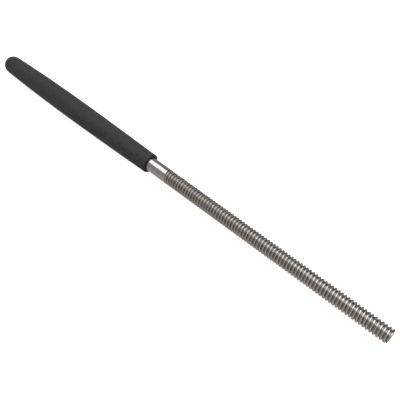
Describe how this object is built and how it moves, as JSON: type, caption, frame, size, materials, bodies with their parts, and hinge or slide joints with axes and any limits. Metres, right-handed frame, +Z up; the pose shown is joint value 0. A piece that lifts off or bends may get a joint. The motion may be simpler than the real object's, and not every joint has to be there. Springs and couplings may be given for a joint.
{
  "type": "ring sizer stick",
  "caption": "Hand-held jewellery stick: a steel bar with a fine round-crested thread and a short plain neck, in a soft black barrel-shaped grip.",
  "frame": {"origin": "on the surface that the stick lies on, under the middle of its length", "axes": "+X along the stick from the butt of the grip to the tip of the bar, +Z up, with the bar's centre line level"},
  "size_m": [0.2842, 0.013, 0.0131],
  "materials": {
    "bar_steel": "turned and satin on the thread, bright on the neck",
    "grip_rubber": "matte, very fine grain"
  },
  "bodies": {
    "root": {"threaded_bar": "bar_steel", "grip": "grip_rubber"}
  },
  "joints": []
}
